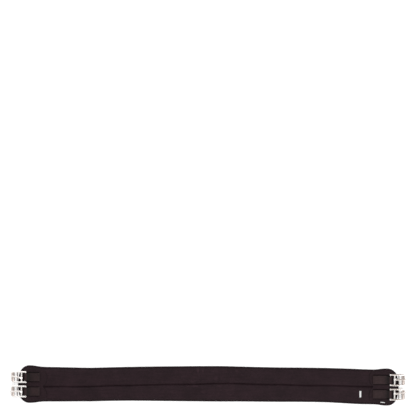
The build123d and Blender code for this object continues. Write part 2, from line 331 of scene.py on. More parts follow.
def stitches(name, lines, material, pitch=STITCH_PITCH, length=STITCH_LENGTH, radius=STITCH_RADIUS, lies=laid):
    """Thread along each line of (point, up) pairs: short stitches that dip at both ends."""
    verts, faces = [], []
    sides, dips = STITCH_SIDES, STITCH_STATIONS
    for line in lines:
        marks = [0.0]
        for (a, _), (b, _) in zip(line, line[1:]):
            marks.append(marks[-1] + (b - a).length)

        def at(s):
            for i in range(len(line) - 1):
                if s <= marks[i + 1] or i == len(line) - 2:
                    span = max(marks[i + 1] - marks[i], 1e-6)
                    t = (s - marks[i]) / span
                    return line[i][0].lerp(line[i + 1][0], t), line[i][1].lerp(line[i + 1][1], t)

        count = int((marks[-1] - length) / pitch) + 1
        lead = (marks[-1] - (count - 1) * pitch - length) / 2
        for k in range(count):
            first = len(verts)
            slant = STITCH_SLANT * math.sin(k * 12.9898)
            for t in dips:
                point, up = at(lead + k * pitch + t * length)
                ahead, _ = at(lead + k * pitch + min(t + 0.05, 1.0) * length + 0.01)
                behind, _ = at(lead + k * pitch + max(t - 0.05, 0.0) * length)
                side = (ahead - behind).normalized().cross(up).normalized()
                thick = radius * (0.55 if t in (0.0, 1.0) else 1.0)
                rise = radius * (1.15 * math.sin(math.pi * t) - 0.35)
                centre = point + up * rise + side * slant * (t - 0.5)
                for s in range(sides):
                    a = 2 * math.pi * s / sides
                    verts.append(tuple(centre + side * math.cos(a) * thick + up * math.sin(a) * thick))
            for r in range(len(dips) - 1):
                for s in range(sides):
                    a, b = first + r * sides + s, first + r * sides + (s + 1) % sides
                    faces.append((a, b, b + sides, a + sides))
            faces.append(tuple(first + s for s in reversed(range(sides))))
            faces.append(tuple(first + (len(dips) - 1) * sides + s for s in range(sides)))
    return piece(name, verts, faces, material, lies)


# ---- materials
def shader(name):
    """A new material, its node tree and its shader."""
    material = bpy.data.materials.new(name)
    material.use_nodes = True
    tree = material.node_tree
    return material, tree, tree.nodes["Principled BSDF"]


def wire(tree, socket, value):
    """Link a socket to another node's output, or set it to a plain value."""
    if isinstance(value, bpy.types.NodeSocket):
        tree.links.new(value, socket)
    else:
        socket.default_value = value


def node(tree, kind, **inputs):
    """A node with its sockets set or linked by name."""
    made = tree.nodes.new(kind)
    for key, value in inputs.items():
        wire(tree, made.inputs[key.replace("_", " ")], value)
    return made


def compute(tree, operation, a, b=0.0):
    """Result of a Math node."""
    made = tree.nodes.new("ShaderNodeMath")
    made.operation = operation
    wire(tree, made.inputs[0], a)
    wire(tree, made.inputs[1], b)
    return made.outputs[0]


def remap(tree, value, start, end, low=0.0, high=1.0, kind="LINEAR"):
    """Low to high as the value goes from start to end."""
    made = node(tree, "ShaderNodeMapRange", Value=value, From_Min=start, From_Max=end, To_Min=low, To_Max=high)
    made.interpolation_type = kind
    return made.outputs[0]


def place(tree, scale=(1, 1, 1)):
    """Object coordinates in metres, stretched by the scale."""
    coords = tree.nodes.new("ShaderNodeTexCoord")
    mapping = tree.nodes.new("ShaderNodeMapping")
    mapping.inputs["Scale"].default_value = scale
    tree.links.new(coords.outputs["Object"], mapping.inputs["Vector"])
    return mapping.outputs["Vector"]


def ramp(tree, value, stops):
    """Colour or grey read off between stops of (value, colour or grey)."""
    made = tree.nodes.new("ShaderNodeValToRGB")
    tree.links.new(value, made.inputs["Fac"])
    while len(made.color_ramp.elements) < len(stops):
        made.color_ramp.elements.new(0.5)
    for element, (at, colour) in zip(made.color_ramp.elements, stops):
        element.position = at
        element.color = (*colour, 1) if isinstance(colour, tuple) else (colour, colour, colour, 1)
    return made.outputs["Color"]


def bump(tree, height, distance, strength, after=None):
    """Normal from a height, on top of another bump's where one is given."""
    made = node(tree, "ShaderNodeBump", Height=height, Distance=distance, Strength=strength)
    if after is not None:
        tree.links.new(after, made.inputs["Normal"])
    return made.outputs["Normal"]


def mix_colour(tree, factor, a, b, mode="MIX"):
    """Colour a, turning to b as the factor rises."""
    made = tree.nodes.new("ShaderNodeMix")
    made.data_type = "RGBA"
    made.blend_type = mode
    # by number, because these sockets share their names with others
    for number, value in ((0, factor), (6, a), (7, b)):
        wire(tree, made.inputs[number], value)
    return made.outputs[2]


def painted_sheen_spots(tree, at, spots):
    """The strength of each oval spot (x, y, length and width in mm, strength) in its middle, 0 at its rim."""
    total = 0.0
    for x, y, length, width, strength in spots:
        local = tree.nodes.new("ShaderNodeMapping")
        local.vector_type = "TEXTURE"
        local.inputs["Location"].default_value = (x * MM, y * MM, COVER_TOP * MM)
        local.inputs["Scale"].default_value = (length / 2 * MM, width / 2 * MM, 0.05)
        tree.links.new(at, local.inputs["Vector"])
        size = tree.nodes.new("ShaderNodeVectorMath")
        size.operation = "LENGTH"
        tree.links.new(local.outputs[0], size.inputs[0])
        fade = remap(tree, size.outputs["Value"], 0.15, 1.0, strength, 0.0, "SMOOTHSTEP")
        total = compute(tree, "MAXIMUM", fade, total)
    return total


def grained_leather(name, colour, grain=900, rough=(0.48, 0.66), gloss=0.12, zones=None, spots=None):
    """Fine-grained synthetic leather: cells with soft valleys and cloudy colour.

    zones paints shade and highlight into it along the girth: (metres from the middle, factor), in order.
    spots adds painted sheen streaks along the strap and painted sheen at the oval spots given.
    """
    material, tree, bsdf = shader(name)
    at = place(tree)
    clouds = node(tree, "ShaderNodeTexNoise", Vector=at, Scale=22.0, Detail=4.0, Roughness=0.6)
    fine = node(tree, "ShaderNodeTexNoise", Vector=at, Scale=240.0, Detail=5.0, Roughness=0.7)
    cells = node(tree, "ShaderNodeTexVoronoi", Vector=at, Scale=float(grain), Randomness=1.0)
    cells.feature = "SMOOTH_F1"
    dark = tuple(c * 0.80 for c in colour)
    light = tuple(c * 1.26 for c in colour)
    tone = ramp(tree, clouds.outputs["Fac"], [(0.32, dark), (0.5, colour), (0.72, light)])
    speck = ramp(tree, fine.outputs["Fac"], [(0.35, 0.78), (0.65, 1.15)])
    tone = mix_colour(tree, 1.0, tone, speck, "MULTIPLY")
    if zones:
        # painted shade and highlight, set by the distance from the middle of the girth
        split = tree.nodes.new("ShaderNodeSeparateXYZ")
        tree.links.new(at, split.inputs[0])
        low, high = zones[0][0], zones[-1][0]
        span = remap(tree, compute(tree, "ABSOLUTE", split.outputs["X"]), low, high)
        painted_zones = ramp(tree, span, [((x - low) / (high - low), f) for x, f in zones])
        tone = mix_colour(tree, 1.0, tone, painted_zones, "MULTIPLY")
    if spots:
        # painted sheen: faint light streaks along the strap
        sheen_streaks = node(tree, "ShaderNodeTexNoise", Vector=place(tree, (0.07, 1, 1)), Scale=210.0, Detail=2.0)
        lines = ramp(tree, sheen_streaks.outputs["Fac"], [(0.36, 0.90), (0.5, 1.0), (0.64, 1.12)])
        tone = mix_colour(tree, 1.0, tone, lines, "MULTIPLY")
        # painted sheen: oval spots lightened towards twice the colour, where the bent surface catches the light
        sheen_mask = painted_sheen_spots(tree, at, spots)
        tone = mix_colour(tree, sheen_mask, tone, tuple(c * 2.1 for c in colour) + (1,))
    tree.links.new(tone, bsdf.inputs["Base Color"])
    shine = ramp(tree, fine.outputs["Fac"], [(0.3, rough[1]), (0.7, rough[0])])
    tree.links.new(shine, bsdf.inputs["Roughness"])
    relief = ramp(tree, cells.outputs["Distance"], [(0.0, 1.0), (0.55, 0.65), (0.95, 0.0)])
    small = bump(tree, relief, 0.10 * MM, 0.55)
    tree.links.new(bump(tree, fine.outputs["Fac"], 0.25 * MM, 0.35, small), bsdf.inputs["Normal"])
    bsdf.inputs["Specular IOR Level"].default_value = gloss
    return material


def woven(name, colour, fineness=700, rough=0.85, depth_mm=0.25, gaps=0.6):
    """Plain weave from two crossed sets of threads."""
    material, tree, bsdf = shader(name)
    at = place(tree)
    across = node(tree, "ShaderNodeTexWave", Vector=at, Scale=fineness / (2 * math.pi), Distortion=0.6)
    across.bands_direction = "X"
    along = node(tree, "ShaderNodeTexWave", Vector=at, Scale=fineness / (2 * math.pi), Distortion=0.6)
    along.bands_direction = "Y"
    weave = compute(tree, "MAXIMUM", across.outputs["Fac"], along.outputs["Fac"])
    cloud = node(tree, "ShaderNodeTexNoise", Vector=at, Scale=60.0, Detail=4.0)
    tone = ramp(tree, weave, [(0.2, tuple(c * gaps for c in colour)), (0.8, colour)])
    vary = ramp(tree, cloud.outputs["Fac"], [(0.3, 0.88), (0.7, 1.08)])
    tree.links.new(mix_colour(tree, 1.0, tone, vary, "MULTIPLY"), bsdf.inputs["Base Color"])
    tree.links.new(bump(tree, weave, depth_mm * MM, 0.6), bsdf.inputs["Normal"])
    bsdf.inputs["Roughness"].default_value = rough
    bsdf.inputs["Specular IOR Level"].default_value = 0.2
    bsdf.inputs["Sheen Weight"].default_value = 0.15
    return material


def twisted_thread(name, colour):
    """Waxed thread with its ply showing as fine slanted lines."""
    material, tree, bsdf = shader(name)
    at = place(tree)
    ply = node(tree, "ShaderNodeTexWave", Vector=at, Scale=420.0, Distortion=1.5)
    ply.bands_direction = "DIAGONAL"
    tone = ramp(tree, ply.outputs["Fac"], [(0.2, tuple(c * 0.55 for c in colour)), (0.8, colour)])
    tree.links.new(tone, bsdf.inputs["Base Color"])
    tree.links.new(bump(tree, ply.outputs["Fac"], 0.12 * MM, 0.6), bsdf.inputs["Normal"])
    bsdf.inputs["Roughness"].default_value = 0.6
    bsdf.inputs["Specular IOR Level"].default_value = 0.25
    return material


def polished_steel(name, colour, rough, along):
    """Polished steel with fine lines drawn out by the scale in along, and faint clouding."""
    material, tree, bsdf = shader(name)
    lines = node(tree, "ShaderNodeTexNoise", Vector=place(tree, along), Scale=900.0, Detail=4.0)
    clouds = node(tree, "ShaderNodeTexNoise", Vector=place(tree), Scale=130.0, Detail=3.0)
    darker = tuple(c * 0.86 for c in colour)
    tone = ramp(tree, clouds.outputs["Fac"], [(0.3, darker), (0.65, colour)])
    tree.links.new(tone, bsdf.inputs["Base Color"])
    shine = ramp(tree, lines.outputs["Fac"], [(0.3, rough * 0.75), (0.7, rough * 1.5)])
    tree.links.new(shine, bsdf.inputs["Roughness"])
    tree.links.new(bump(tree, lines.outputs["Fac"], 0.02 * MM, 0.35), bsdf.inputs["Normal"])
    bsdf.inputs["Metallic"].default_value = 1.0
    return material


# Painted sheen beside the old fold and the seam, where the bent surface catches the light: x, y, length and
# width in mm, and how far each goes towards the lighter colour.
SHEEN_SPOTS = [(-31, 46, 8, 20, 0.9), (-38, -1.6, 30, 5, 0.65), (34, -0.6, 26, 6, 0.5), (-47, 11.5, 16, 7, 0.45)]
SHEEN_SPOTS += [(24, 22, 14, 24, 0.3), (-16, 44, 8, 22, 0.4), (87, 46, 14, 14, 0.35)]
COVER_LEATHER = grained_leather("cover_leather", (0.0205, 0.0097, 0.0131), spots=SHEEN_SPOTS)
# The binding is darker than the cover: painted shade along the rounded rim.
BINDING_LEATHER_SHADED = grained_leather("binding_leather_shaded", (0.0165, 0.0078, 0.0104), grain=1100, rough=(0.50, 0.68))
PATCH_LEATHER = grained_leather("patch_leather", (0.0186, 0.0086, 0.0115), grain=1000, rough=(0.46, 0.62))
# painted shade just behind the heel bar and down the slope before it, and a painted highlight on the fold round
# it
FOLD_SHADE_AND_HIGHLIGHT = [(0.530, 1.0), (0.5395, 0.86), (0.5470, 0.25), (0.5520, 0.25)]
FOLD_SHADE_AND_HIGHLIGHT += [(0.5545, 1.25), (0.5580, 1.3), (0.5610, 0.5)]
FOLDED = {"grain": 1300, "rough": (0.42, 0.58), "gloss": 0.16, "zones": FOLD_SHADE_AND_HIGHLIGHT}
# The right end's chapes are a lighter copy of the left end's leather: painted light, as the light falls
# stronger on the right.
CHAPE_LEATHER = {
    "left": grained_leather("chape_leather_left_shaded", (0.0245, 0.0122, 0.0132), **FOLDED),
    "right": grained_leather("chape_leather_right_lit", (0.0305, 0.0162, 0.0174), **FOLDED),
}
# The patches' inner edge is darker: painted shade of the step down to the cover.
PATCH_RIM_SHADE = grained_leather("patch_rim_shade", (0.0112, 0.0054, 0.0072), 1200, (0.46, 0.62), 0.08)
# Edge paint, dark enough to stand for the shadow along the chapes' sides and tails: partly painted shade.
EDGE_PAINT_AND_SHADE = grained_leather("edge_paint_and_shade", (0.0036, 0.0022, 0.0027), 1500, (0.45, 0.6), 0.04)
LINING_CLOTH = woven("lining_cloth", (0.016, 0.013, 0.014))
LABEL_CLOTH = woven("label_cloth", (0.93, 0.93, 0.925), 4200, 0.7, 0.05, 0.86)
THREAD = twisted_thread("thread", (0.024, 0.014, 0.018))
LABEL_THREAD = twisted_thread("label_thread", (0.80, 0.80, 0.79))
FRAME_STEEL = polished_steel("frame_steel", (0.93, 0.90, 0.875), 0.16, (1, 6, 6))
# The guard bar's steel is a darker copy of the frame's: painted shade and dark reflection on the thin bar.
GUARD_WIRE_SHADED = polished_steel("guard_wire_shaded", (0.20, 0.172, 0.158), 0.26, (6, 1, 6))
ROLLER_STEEL = polished_steel("roller_steel", (0.585, 0.515, 0.48), 0.17, (8, 1, 8))
TONGUE_STEEL = polished_steel("tongue_steel", (0.88, 0.84, 0.81), 0.18, (1, 6, 6))


# ---- soft body
def spread(count, ease):
    """Numbers from -1 to 1, closer together at both ends."""
    out = []
    for i in range(count):
        t = 2 * i / (count - 1) - 1
        out.append((1 - ease) * t + ease * math.sin(t * math.pi / 2))
    return out


COVER_TUCK = 1.1  # how far the cover runs in under the binding
COVER_UNDERSIDE = 1.3
COVER_COLUMNS, COVER_HALF_ROWS = 561, 30
SEAM_FADE = 30  # where the body is narrower than this each side, the seam's wander fades


def build_cover():
    """The upper side: one padded channel each side of the seam."""
    columns = [t * (HALF_BODY - BINDING_WIDTH + COVER_TUCK) for t in spread(COVER_COLUMNS, 0.55)]
    top = []
    for x in columns:
        wide = half_width_inside(x, BINDING_WIDTH - COVER_TUCK)
        seam = seam_y(x) * min(wide / SEAM_FADE, 1)
        for side in (-1, 1):
            outer = side * wide
            for k in range(COVER_HALF_ROWS)[::-side]:
                # rows lie closer together at the edge and at the seam
                t = k / (COVER_HALF_ROWS - 0.5)
                t = 0.35 * t + 0.65 * (0.5 - 0.5 * math.cos(math.pi * t))
                y = outer + (seam - outer) * t
                top.append((x, y, cover_height(x, y)))
    rows = 2 * COVER_HALF_ROWS
    verts, faces = skirted(len(columns), rows, top, COVER_UNDERSIDE)
    cover = piece("outer_cover_leather", verts, faces, COVER_LEATHER)
    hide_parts("outer_cover", "foam_pad_front", "foam_pad_back", "load_web_front", "load_web_back")


BINDING_CREST = 3.4  # above this height the tape puckers
BINDING_LINE = (3.3, 4.02)  # the stitches' inset and height


def build_binding():
    """Tape turned round the rim and stitched through."""
    # inset from the edge, and height, once round the tape
    section = [(1.2, 0.05), (0.5, 0.12), (0.12, 0.6), (0.0, 1.3), (0.0, 2.4), (0.2, 3.2), (0.8, 3.85)]
    section += [(1.6, 4.15), (2.5, 4.12), (3.3, 3.98), (4.1, 4.08), (4.7, 3.98), (5.0, 3.7), (5.05, 3.2)]
    section += [(4.4, 3.0), (1.6, 3.0), (1.3, 1.2)]
    rim = full_rim(2.2)
    verts = []
    for i, (p, n) in enumerate(rim):
        pull = ripple(p.x, p.y, 6, 6, 0.4)
        for inset, z in section:
            lift = 0.16 * pull if BINDING_CREST < z and inset > 1 else 0.0
            wave = 0.22 * ripple(p.x, p.y, 18, 18, 5.5) if inset > 4.5 else 0.0
            q = p - n * (inset + wave)
            verts.append((q.x, q.y, z + lift))
    faces = strip_faces(len(rim), len(section), True, True)
    faces = [tuple(reversed(f)) for f in faces]
    binding = piece("edge_binding_tape", verts, faces, BINDING_LEATHER_SHADED)
    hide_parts("edge_binding")
    inset, height = BINDING_LINE
    line = [(p - n * inset + Vector((0, 0, height)), UP) for p, n in rim + rim[:1]]
    thread = stitches("binding_stitches", [line], THREAD)


LINING_INSET, LINING_TOP = 1.3, 1.2
LINING_COLUMNS, LINING_ROWS = 321, 41


def build_lining():
    """The side that meets the horse, with a middle seam that draws it up and a slight unevenness."""
    columns = [t * (HALF_BODY - LINING_INSET) for t in spread(LINING_COLUMNS, 0.5)]
    rows = LINING_ROWS
    top = []
    for x in columns:
        wide = half_width_inside(x, LINING_INSET)
        for t in spread(rows, 0.3):
            y = t * wide
            from_seam = abs(y - seam_y(x))
            z = 0.02 + 0.55 * math.exp(-((from_seam / 2.2) ** 2))
            z += 0.10 * smooth(edge_distance(x, y) / 12) * (0.5 + 0.5 * ripple(x, y, 40, 20, 3.3))
            top.append((x, y, z))
    faces = [tuple(reversed(f)) for f in strip_faces(len(columns), rows)]
    verts = top + [(x, y, LINING_TOP) for x, y, _ in top]
    count = len(top)
    faces += [tuple(count + k for k in reversed(f)) for f in faces]
    rim = grid_rim(len(columns), rows)
    for a, b in zip(rim, rim[1:] + rim[:1]):
        faces.append((a, b, count + b, count + a))
    lining = piece("lining_cloth", verts, faces, LINING_CLOTH)
    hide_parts("lining")


# ---- end patches
PATCH_THICKNESS = 1.0
PATCH_EDGE = 8.0  # inset of the patch's outer edge
PATCH_SUNK = 0.4  # how far its underside lies below the cover's face
PATCH_SEWN = 2.6  # from its edge to the stitches
PATCH_COLUMNS, PATCH_ROWS = 61, 81
PATCH_CUSP = HALF_BODY - 77.0
SCALLOP_R, SCALLOP_Y = 38.6, 28.5  # radius, and how far its crest lies from the middle line


def patch_start(y, meet):
    """Inner edge of a patch: two scallops that meet on the seam, which lies meet off the middle line."""
    centre = PATCH_CUSP + math.sqrt(SCALLOP_R**2 - SCALLOP_Y**2)
    return centre - math.sqrt(SCALLOP_R**2 - (abs(y - meet) - SCALLOP_Y) ** 2)


def patch_height(x, y):
    """Height of a patch's upper face."""
    d = edge_distance(x, y)
    lip = smooth((d - PATCH_EDGE) / 1.2)
    return max(cover_height(x, y, with_seam=False), PAD_FOOT) + PATCH_THICKNESS * (0.55 + 0.45 * lip)


def build_patch(end, sign):
    """One end patch, on top of the cover, its inner edge scalloped."""
    rows, columns = PATCH_ROWS, PATCH_COLUMNS
    top = []
    reach = SHOULDER - PATCH_EDGE
    meet = sign * seam_y(sign * PATCH_CUSP)
    for i in range(columns):
        u = i / (columns - 1)
        for t in spread(rows, 0.75):
            # each row runs from the scalloped edge to the rounded end
            y = t * reach
            first = patch_start(y, meet)
            last = END_X + math.sqrt((END_R - PATCH_EDGE) ** 2 - y * y)
            if abs(y) > CORNER_Y:
                inside = (CORNER_R - PATCH_EDGE) ** 2 - (abs(y) - CORNER_Y) ** 2
                last = min(last, CORNER_X + math.sqrt(max(inside, 0.0)))
            narrow = half_width(first) - PATCH_EDGE
            squeeze = narrow / reach + (1 - narrow / reach) * smooth((u * (last - first)) / 46)
            x = first + (last - first) * u
            y *= squeeze
            edge = u * (last - first)
            z = patch_height(x, y)
            z -= 0.30 * (1 - smooth(edge / 1.1))  # its rolled inner edge
            z -= 0.14 * math.exp(-(((edge - 3.0) / 0.7) ** 2))  # the line that its stitches press in
            top.append((sign * x, y * sign, z))

    def sunk(x, y):
        return max(cover_height(abs(x), y * sign, False) - PATCH_SUNK, PAD_FOOT - PATCH_SUNK / 2)

    verts, faces = skirted(columns, rows, top, sunk)
    patch = piece(f"end_patch_{end}_leather", verts, faces, PATCH_LEATHER)
    # painted shade: the inner edge takes the darker leather
    patch.data.materials.append(PATCH_RIM_SHADE)
    for face in patch.data.polygons[: rows - 1]:  # the first column, along the inner edge
        face.material_index = 1
    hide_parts(f"end_patch_{end}")
    inner, outer = [], []
    for y in range(-44, 45, 2):
        x = patch_start(y, meet) + PATCH_SEWN
        inner.append((Vector((sign * x, sign * y, patch_height(x, y) - 0.08)), UP))
    for p, n in full_rim(3.0):
        if p.x * sign > PATCH_CUSP + 3:
            q = p - n * (PATCH_EDGE + PATCH_SEWN)
            outer.append((Vector((q.x, q.y, patch_height(q.x, q.y))), UP))
    if sign < 0:
        inner = inner[::-1]
    outer.sort(key=lambda pair: math.atan2(pair[0].y, sign * (pair[0].x - sign * CORNER_X)))
    thread = stitches(f"end_patch_{end}_stitches", [inner, outer], THREAD)


# ---- chapes
STRAP_THICKNESS = 2.0
STRAP_HALF = 12.5
STRAP_WIDENS = 2.0  # on each side, beyond the rails
CHAPE_TAIL = {"left": 44.4, "right": 55.4}  # heel bar to the sewn end
LEGS_MEET = 12.5  # heel bar to where the two legs lie together
LEG_GAP = 0.03
SKIVE, SKIVED = 7.0, 0.6  # length pared down at the end of each leg, and what is left there
TAIL_ROUND = 4.5
SECTION_ROUND = 0.7
# the dark edge is edge paint, made darker as painted shade beside the strap
DARK_EDGE = 1.7  # width of the painted edge


def pared(x, reach):
    """Thickness of one leg at x: the sewn end is pared to a feather edge."""
    return SKIVED + (STRAP_THICKNESS - SKIVED) * smooth((x + reach) / SKIVE)


def strap_half(x):
    """Half the strap's width: waisted to pass between the rails."""
    return STRAP_HALF + STRAP_WIDENS * smooth((-x - 4.2) / 8)


def chape_path(radius, reach):
    """Middle line and thickness of the folded strap from the side: bar at the origin, girth towards -X."""
    seat = -radius - STRAP_THICKNESS / 2
    tail = [-reach + step for step in (0, 0.4, 1.0, 1.8, 2.8, 3.8, 4.6, 6, 8)]
    lower = tail + [-reach + 8 + (reach - 8) * i / 12 for i in range(1, 13)]
    rows = [(x, seat + pared(x, reach) / 2, pared(x, reach)) for x in lower]
    for i in range(1, 18):
        a = math.radians(-90 + i * 10.6)
        rows.append((radius * math.cos(a), radius * math.sin(a), STRAP_THICKNESS))
    x0, z0, _ = rows[-1]
    low = seat + 1.5 * STRAP_THICKNESS + LEG_GAP
    for i in range(1, 13):
        t = i / 12
        x = x0 + (-LEGS_MEET - x0) * t
        rows.append((x, z0 + (low - z0) * smooth(t) - 0.15 * math.sin(math.pi * t), STRAP_THICKNESS))
    upper = [-LEGS_MEET + (LEGS_MEET + 8 - reach) * i / 9 for i in range(1, 9)] + tail[::-1]
    rows += [(x, seat + 1.5 * pared(x, reach) + LEG_GAP, pared(x, reach)) for x in upper]
    return rows


def build_chape(end, side):
    """One strap folded round the heel bar, sewn down along its edges."""
    lo, hi = box_mm(f"chape_{end}_{side}")
    sign = ENDS[end]
    heel_x, _, heel_z = joint_at(f"frame_{end}_{side}_turn")
    centre_y = (lo.y + hi.y) / 2
    radius = heel_z - lo.z - STRAP_THICKNESS / 2  # bar to the middle of the strap's thickness
    seed = 11.0 + sign * 2 + SIDES[side]
    reach = CHAPE_TAIL[end]
    path = chape_path(radius, reach)
    # in from the strap's edge, and the share of its thickness there
    across = [(0.0, 0.35), (0.25, 0.72), (SECTION_ROUND, 1.0), (DARK_EDGE, 1.0)]
    across += [(3.9, 1.0), (4.5, 1.0), (5.1, 1.0), (8.5, 1.0)]
    pressed = (5, 2 * len(across) - 5)  # the stations that the stitches press in
    verts = []
    for i, (x, z, thickness) in enumerate(path):
        (x0, z0, _), (x1, z1, _) = path[max(i - 1, 0)], path[min(i + 1, len(path) - 1)]
        forward = Vector((x1 - x0, 0, z1 - z0)).normalized()
        out = Vector((forward.z, 0, -forward.x))
        short = max(TAIL_ROUND - (x + reach), 0.0)
        half = strap_half(x) - (TAIL_ROUND - math.sqrt(TAIL_ROUND**2 - short**2))
        one_side = [(-half + d, f) for d, f in across]
        stations = one_side + [(0.0, 1.0)] + [(-y, f) for y, f in reversed(one_side)]
        for face in (1, -1):
            for k, (y, full) in enumerate(stations if face > 0 else stations[::-1]):
                thick = thickness / 2 * full
                sewn = face > 0 and k in pressed and x < -LEGS_MEET
                sag = 0.10 * ripple(x, y, 8, 9, seed) if face > 0 and x < -LEGS_MEET / 2 else 0.0
                lift = (thick - 0.16 if sewn else thick) * face
                verts.append((x + out.x * lift, y, z + out.z * lift + sag))
    points = 4 * len(across) + 2
    faces = strip_faces(len(path), points, False, True)
    faces.append(tuple(range(points)))
    faces.append(tuple(reversed(range((len(path) - 1) * points, len(path) * points))))
    placed = [(heel_x + sign * x, centre_y + y, heel_z + z) for x, y, z in verts]
    if sign > 0:
        faces = [tuple(reversed(f)) for f in faces]
    chape = piece(f"chape_{end}_{side}_strap", placed, faces, CHAPE_LEATHER[end], as_cut)
    # the strap's sides and tail take the dark edge: edge paint and painted shade
    chape.data.materials.append(EDGE_PAINT_AND_SHADE)
    for face in chape.data.polygons:
        x = sign * (face.center.x / MM - heel_x)
        if abs(face.center.y / MM - centre_y) > strap_half(x) - DARK_EDGE or x < -reach + 0.9:
            face.material_index = 1
    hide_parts(f"chape_{end}_{side}")

    def on_top(x, y):
        z = heel_z - radius - STRAP_THICKNESS / 2 + 2 * pared(-x, reach) + LEG_GAP
        return Vector((heel_x - sign * x, centre_y + y, z)), UP

    near, far, side_y = 15.5, reach - 2.6, 9.4  # where the four rows of stitches run
    lines = [[on_top(x, y) for x in (near, 25, 35, far - 6, far - 4, far - 2, far)] for y in (-side_y, side_y)]
    lines += [[on_top(x, -side_y), on_top(x, side_y)] for x in (near, near + 3, far - 3, far)]
    thread = stitches(f"chape_{end}_{side}_stitches", lines, THREAD, 3.6, 2.6, 0.30, as_cut)


# ---- labels
LABEL_SUNK = 0.3
LABEL_SEWN = 0.9  # from its end to the stitches


def build_label(name, node_name, size, turn, curl, moved):
    """A small blank woven label, sewn down at its ends, its corners lifting a little."""
    lo, hi = box_mm(node_name)
    centre = (lo + hi) / 2 + Vector((*moved, 0))
    turned = Matrix.Rotation(math.radians(turn), 3, "Z")
    long_x = size[0] > size[1]
    n, m = (25, 9) if long_x else (9, 25)

    def at(u, v, z):
        return turned @ Vector(((u - 0.5) * size[0], (v - 0.5) * size[1], 0)) + Vector((centre.x, centre.y, z))

    top = []
    for i in range(n):
        for j in range(m):
            u, v = i / (n - 1), j / (m - 1)
            corner = (2 * u - 1) ** 4 * (2 * v - 1) ** 4
            top.append(tuple(at(u, v, hi.z + curl * corner + 0.05 * math.sin(9 * u + 5 * v))))
    verts, faces = skirted(n, m, top, lo.z - LABEL_SUNK)
    label = piece(name, verts, faces, LABEL_CLOTH)
    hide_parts(node_name)
    ends = LABEL_SEWN / max(size), 1 - LABEL_SEWN / max(size)
    z = hi.z + 0.02
    if long_x:
        lines = [[(at(u, 0.1, z), UP), (at(u, 0.9, z), UP)] for u in ends]
    else:
        lines = [[(at(0.07, v, z), UP), (at(0.93, v, z), UP)] for v in ends]
    thread = stitches(f"{name}_stitches", lines, LABEL_THREAD, 1.5, 1.1, 0.14)


# ---- steel
# The main sizes are the CAD's, the small roundings are this script's own. The tongue bar's radius is 0.4 mm
# more than the CAD's, to read as wide as in the photograph.
WINDOW_HALF, RAIL_WIDTH = 13.5, 4.5  # half the clear width between the rails, and each rail's width
RAIL_HEEL_R, RAIL_FRONT_R, RAIL_ROUND, RAIL_CORNER = 3.2, 3.6, 0.6, 2.2
BAR_R, TONGUE_BAR_R, GUARD_R, ROLLER_BAR_R = 2.3, 2.7, 1.5, 2.9
GUARD_X = 25.1  # from the heel bar
ROLLER_R, ROLLER_BORE, ROLLER_HALF, ROLLER_SEAM, ROLLER_ROUND = 5.0, 3.1, 13.1, 0.5, 0.4
HUB_R, EYE_R, HUB_HALF, HUB_NOSE, HUB_ROUND = 3.85, 3.0, 2.8, 6.5, 0.35
SHANK_UNDER, SHANK_THICK, SHANK_ROOT = 3.4, 2.6, 3.9
ROOT_HALF, TIP_HALF, SHANK_ROUND = 2.4, 1.9, 0.8
SHANK_BEND, SHANK_WAIST = 12.0, 0.12  # where its sides bend, and how far in they are there
SHANK_LOW_ROUND, NOSE_ROUND = 0.3, 0.5
TONGUE_REACH = 34.9
SHARP = 38  # degrees between faces, past which an edge isn't shaded round
SKEW = {("left", "back"): -10.0, ("right", "front"): 9.5}  # degrees, as each loose tongue lies


def hull(*circles, count=56):
    """Outline round (x, z, radius) circles, as points in one plane."""
    points = []
    for k in range(count):
        a = 2 * math.pi * k / count
        c, d = math.cos(a), math.sin(a)
        x, z, r = max(circles, key=lambda o: o[0] * c + o[1] * d + o[2])
        points.append((x + r * c, z + r * d))
    return points


def eased(depth, radius):
    """How far a rounded edge draws in at this depth below the face."""
    return radius - math.sqrt(max(radius**2 - max(radius - depth, 0) ** 2, 0))


def steps(width, radius):
    """Depths across a plate, close together where its two edges are rounded."""
    near = [radius * (1 - math.cos(math.pi / 2 * k / 4)) for k in range(5)]
    return near + [width - d for d in reversed(near)]


def loft(parts, rings, closed=False):
    """Add rings of equal length to parts, joined; ends are capped unless it closes on itself."""
    verts, faces = parts
    start, n = len(verts), len(rings[0])
    faces += [tuple(start + k for k in f) for f in strip_faces(len(rings), n, closed, True)]
    if not closed:
        faces.append(tuple(start + k for k in range(n)))
        faces.append(tuple(start + (len(rings) - 1) * n + k for k in range(n)))
    for ring in rings:
        verts += ring


def add_bar(parts, x, z, radius):
    """A round bar let halfway into both rails."""
    reach = WINDOW_HALF + RAIL_WIDTH / 2
    loft(parts, [[(px, y, pz) for px, pz in hull((x, z, radius), count=32)] for y in (-reach, 0, reach)])


def add_rail(parts, side, front):
    """One rail, a little deeper at the front bar than at the heel bar, its outer corners rounded."""
    rings = []
    for depth in steps(RAIL_WIDTH, RAIL_ROUND):
        inset = eased(min(depth, RAIL_WIDTH - depth), RAIL_ROUND)
        short = max(eased(depth, RAIL_CORNER), inset)
        low, high = -RAIL_HEEL_R + short, front[0] + RAIL_FRONT_R - short
        outline = hull((0, 0, RAIL_HEEL_R - inset), (*front, RAIL_FRONT_R - inset))
        y = side * (WINDOW_HALF + RAIL_WIDTH - depth)
        rings.append([(min(max(x, low), high), y, z) for x, z in outline])
    loft(parts, rings)


def steel_piece(node_name, ending, parts, origin, turn, body, material):
    """A steel piece in place of its CAD node, turned about Z and set at the origin given."""
    verts, faces = parts
    turned = Matrix.Rotation(math.radians(turn), 3, "Z")
    placed = [tuple(turned @ Vector(v) + Vector(origin)) for v in verts]
    obj = piece(f"{node_name}_{ending}", placed, faces, material, as_cut)
    obj.data.set_sharp_from_angle(angle=math.radians(SHARP))
    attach(obj, body)
    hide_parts(node_name)
    return obj


